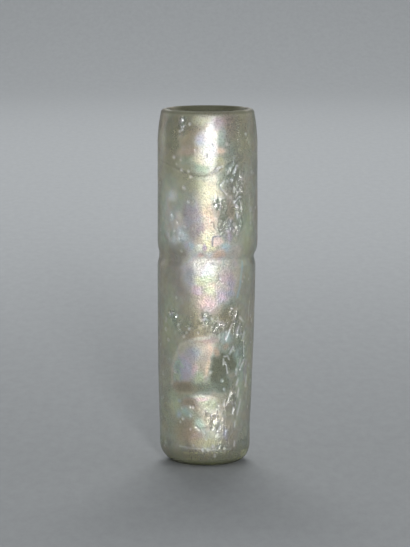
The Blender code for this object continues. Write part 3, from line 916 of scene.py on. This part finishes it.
def field(tree, name):
    """The value of one of the skin's own fields."""
    return add_node(tree, "ShaderNodeAttribute", attribute_name=name).outputs["Fac"]


def bump_normal(tree, height, distance, strength):
    """A normal from a height, at a depth in metres."""
    made = add_node(tree, "ShaderNodeBump", {"Distance": distance, "Strength": strength})
    tree.links.new(height, made.inputs["Height"])
    return made.outputs["Normal"]


def surface_height(tree, grain, crinkle, depths):
    """The height of the surface in millimetres: grain where the skin is grainy, and crinkled veins."""
    coarse = math_node(tree, "MULTIPLY", field(tree, "grain"), depths[0])
    fine = math_node(tree, "MULTIPLY", grain.outputs["Height"], coarse)
    veins = math_node(tree, "MULTIPLY", add_crinkle(tree, crinkle), depths[1])
    return math_node(tree, "ADD", fine, veins)


def glass_material(flaking, crinkle):
    """Pale olive glass with faint streaks, greener through its thick base, its surface finely corroded."""
    material = bpy.data.materials.new("blown_olive_glass")
    material.use_nodes = True
    tree = material.node_tree
    shader = tree.nodes["Principled BSDF"]
    shader.inputs["Metallic"].default_value = 0.0
    shader.inputs["Roughness"].default_value = GLASS_ROUGHNESS
    shader.inputs["IOR"].default_value = 1.5
    shader.inputs["Transmission Weight"].default_value = 1.0
    place = tree.nodes.new("ShaderNodeTexCoord").outputs["Object"]
    stretch = add_node(tree, "ShaderNodeMapping", {"Scale": (1.0, 1.0, 0.25)})
    tree.links.new(place, stretch.inputs["Vector"])
    streaks = ranged(tree, noise(tree, stretch.outputs["Vector"], 260.0), 0.3, 0.7)
    tint = mix_colour(tree, streaks, GLASS_DARK, GLASS_PALE)
    tree.links.new(tint, shader.inputs["Base Color"])
    grain = add_flaking(tree, flaking, GLASS_GRAIN)
    height = surface_height(tree, grain, crinkle, GLASS_DEPTHS)
    tree.links.new(bump_normal(tree, height, 0.001, 1.0), shader.inputs["Normal"])
    absorb = add_node(tree, "ShaderNodeVolumeAbsorption", {"Color": GLASS_DEPTH_COLOUR, "Density": GLASS_DEPTH})
    tree.links.new(absorb.outputs["Volume"], tree.nodes["Material Output"].inputs["Volume"])
    return material


def film_colour(tree):
    """The tint painted on the skin, with the colours of a finely changing thickness mixed in a little."""
    place = tree.nodes.new("ShaderNodeTexCoord").outputs["Object"]
    ramp = tree.nodes.new("ShaderNodeValToRGB")
    steps = ramp.color_ramp.elements
    steps[0].position, steps[0].color = FILM_COLOURS[0]
    steps[1].position, steps[1].color = FILM_COLOURS[-1]
    for position, colour in FILM_COLOURS[1:-1]:
        steps.new(position).color = colour
    tree.links.new(ranged(tree, noise(tree, place, THICKNESS_CELLS, 4.0, 0.6), 0.25, 0.75), ramp.inputs["Fac"])
    tint = add_node(tree, "ShaderNodeAttribute", attribute_name="tint").outputs["Color"]
    return mix_colour(tree, THICKNESS_SHARE, tint, ramp.outputs["Color"])


def film_material(flaking, crinkle):
    """The iridescent weathering film: its colour from its thickness, browned by dirt and by painted shade, and flaked
    through.
    """
    material = bpy.data.materials.new("iridescent_film")
    material.use_nodes = True
    tree = material.node_tree
    shader = tree.nodes["Principled BSDF"]
    dirt_and_shade = field(tree, "dirt_and_shade")
    tree.links.new(mix_colour(tree, dirt_and_shade, film_colour(tree), DIRT_AND_SHADE_COLOUR), shader.inputs["Base Color"])
    glints = math_node(tree, "MAXIMUM", field(tree, "glints"), field(tree, "crinkle"))
    shine = ranged(tree, dirt_and_shade, 0.0, 1.0, 0.62, 0.1)
    # Less Metallic on the glints and flakes, so their pale paint shows under any lamp: a painted highlight on the
    # glints, and the flakes' own pale colour.
    pale_flakes_and_highlight = ranged(tree, field(tree, "glints"), 0.0, 1.0, 1.0, 0.4)
    tree.links.new(math_node(tree, "MULTIPLY", shine, pale_flakes_and_highlight), shader.inputs["Metallic"])
    grain = add_flaking(tree, flaking, FILM_GRAIN)
    rough = ranged(tree, grain.outputs["Specks"], 0.0, 1.0, 0.48, 0.38)
    polish = ranged(tree, glints, 0.0, 1.0, 1.0, 0.4)
    matte = ranged(tree, dirt_and_shade, 0.5, 0.9, 0.0, 0.85)
    polished = math_node(tree, "MULTIPLY", rough, polish)
    tree.links.new(math_node(tree, "MAXIMUM", polished, matte), shader.inputs["Roughness"])
    specks = ranged(tree, grain.outputs["Specks"], 0.0, 1.0, 0.28, 0.0)
    kept = math_node(tree, "SUBTRACT", 1.0, math_node(tree, "MULTIPLY", specks, field(tree, "grain")))
    tree.links.new(math_node(tree, "MULTIPLY", field(tree, "cover"), kept), shader.inputs["Alpha"])
    height = surface_height(tree, grain, crinkle, FILM_DEPTHS)
    tree.links.new(bump_normal(tree, height, 0.001, 1.0), shader.inputs["Normal"])
    return material


def backdrop_material():
    """Plain grey card with a faint mottle."""
    material = bpy.data.materials.new("grey_card")
    material.use_nodes = True
    tree = material.node_tree
    shader = tree.nodes["Principled BSDF"]
    shader.inputs["Roughness"].default_value = 0.9
    shader.inputs["Specular IOR Level"].default_value = 0.2
    place = tree.nodes.new("ShaderNodeTexCoord").outputs["Object"]
    stretch = add_node(tree, "ShaderNodeMapping", {"Scale": CARD_STRETCH})
    tree.links.new(place, stretch.inputs["Vector"])
    mottle = ranged(tree, noise(tree, stretch.outputs["Vector"], CARD_GRAIN, 8.0, 0.8), 0.3, 0.7)
    tree.links.new(mix_colour(tree, mottle, CARD_DARK, CARD_PALE), shader.inputs["Base Color"])
    return material


def backdrop():
    """A round floor that sweeps up into a wall: flat out to one radius, then a quarter circle."""
    turn = np.linspace(0.0, math.tau, 97)[:-1]
    rise = np.radians(np.linspace(0.0, 90.0, 25))
    sweep_radius = FLOOR_FLAT + SWEEP * np.sin(rise)
    radius = np.concatenate([np.linspace(0.0, FLOOR_FLAT, 20)[:-1], sweep_radius, [FLOOR_FLAT + SWEEP]])
    level = np.concatenate([np.zeros(19), SWEEP * (1.0 - np.cos(rise)), [WALL_TOP]])
    grid = np.stack(
        [
            radius[:, None] * np.sin(turn),
            -radius[:, None] * np.cos(turn),
            np.broadcast_to(level[:, None], (len(radius), len(turn))),
        ],
        axis=2,
    )
    rings, turns = grid.shape[0] - 1, grid.shape[1]
    coords = np.vstack([grid[0].mean(axis=0), grid[1:].reshape(-1, 3)])
    first = 1 + np.arange(rings)[:, None] * turns + np.arange(turns)[None, :]
    after = np.roll(first, -1, axis=1)
    quads = np.stack([first[:-1], first[1:], after[1:], after[:-1]], axis=2).reshape(-1, 4)
    fan = np.stack([np.zeros(turns, int), first[0], after[0]], axis=1)
    mesh = bpy.data.meshes.new("studio_floor")
    mesh.from_pydata(coords.tolist(), [], fan.tolist() + quads.tolist())
    mesh.shade_smooth()
    mesh.materials.append(backdrop_material())
    floor = bpy.data.objects.new("studio_floor", mesh)
    bpy.context.scene.collection.objects.link(floor)


def softbox(name, place, aim, width, tall, power, colour):
    """A rectangular lamp at one place, turned to face another, and itself unseen by the camera."""
    lamp = bpy.data.lights.new(name, "AREA")
    lamp.shape = "RECTANGLE"
    lamp.size = width
    lamp.size_y = tall
    lamp.energy = power
    lamp.color = colour
    holder = bpy.data.objects.new(name, lamp)
    holder.location = place
    holder.rotation_euler = (Vector(aim) - Vector(place)).to_track_quat("-Z", "Y").to_euler()
    holder.visible_camera = False
    bpy.context.scene.collection.objects.link(holder)


def upright_lamp(name, turn, width, power):
    """An upright lamp facing the bottle from one turn round it, from just above the floor."""
    angle = math.radians(turn)
    place = (STRIP_DISTANCE * math.sin(angle), -STRIP_DISTANCE * math.cos(angle), STRIP_MIDDLE)
    softbox(name, place, (0.0, 0.0, STRIP_MIDDLE), width, STRIP_TALL, power, STRIP_COLOUR)


def lights():
    """A strip beside the camera for the streak, tubes for glints, a side fill, lamps above and a surround."""
    upright_lamp("strip", STRIP_TURN, STRIP_WIDTH, STRIP_POWER)
    for number, turn in enumerate(TUBE_TURNS, 1):
        upright_lamp(f"tube_{number}", turn, TUBE_WIDTH, TUBE_POWER)
    upright_lamp("fill", FILL_TURN, FILL_WIDTH, FILL_POWER)
    softbox("overhead", OVERHEAD_PLACE, OVERHEAD_AIM, OVERHEAD_WIDTH, OVERHEAD_WIDTH, OVERHEAD_POWER, OVERHEAD_COLOUR)
    softbox("pool", POOL_PLACE, POOL_AIM, POOL_WIDTH, POOL_WIDTH, POOL_POWER, OVERHEAD_COLOUR)
    world = bpy.data.worlds.new("surround")
    world.use_nodes = True
    world.node_tree.nodes["Background"].inputs["Color"].default_value = SURROUND_COLOUR
    world.node_tree.nodes["Background"].inputs["Strength"].default_value = SURROUND_STRENGTH
    bpy.context.scene.world = world


def camera():
    """The camera, a little above the bottle's middle and looking slightly down at it."""
    made = bpy.data.objects.new("camera", bpy.data.cameras.new("camera"))
    made.data.lens = CAMERA_LENS
    made.data.sensor_width = CAMERA_SENSOR
    made.data.clip_end = CAMERA_REACH
    rise = math.radians(CAMERA_RISE)
    aim = Vector(CAMERA_AIM) * MM
    made.location = aim + CAMERA_DISTANCE * MM * Vector((0.0, -math.cos(rise), math.sin(rise)))
    made.rotation_euler = (math.radians(90.0 - CAMERA_RISE), 0.0, 0.0)
    bpy.context.scene.collection.objects.link(made)
    bpy.context.scene.camera = made


def main():
    flaking, crinkle = flaking_group(), crinkle_group()
    glass = skin("glass_vessel", SKIN_TURNS, SKIN_ROWS, 0.0)
    glass.data.materials.append(glass_material(flaking, crinkle))
    film = skin("weathering_film", SKIN_TURNS, SKIN_ROWS, FILM_GAP)
    film.data.materials.append(film_material(flaking, crinkle))
    for piece in (glass, film):
        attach(piece, "root")
    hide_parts("vessel")
    backdrop()
    lights()
    camera()
    bpy.context.scene.view_settings.view_transform = "Standard"


main()
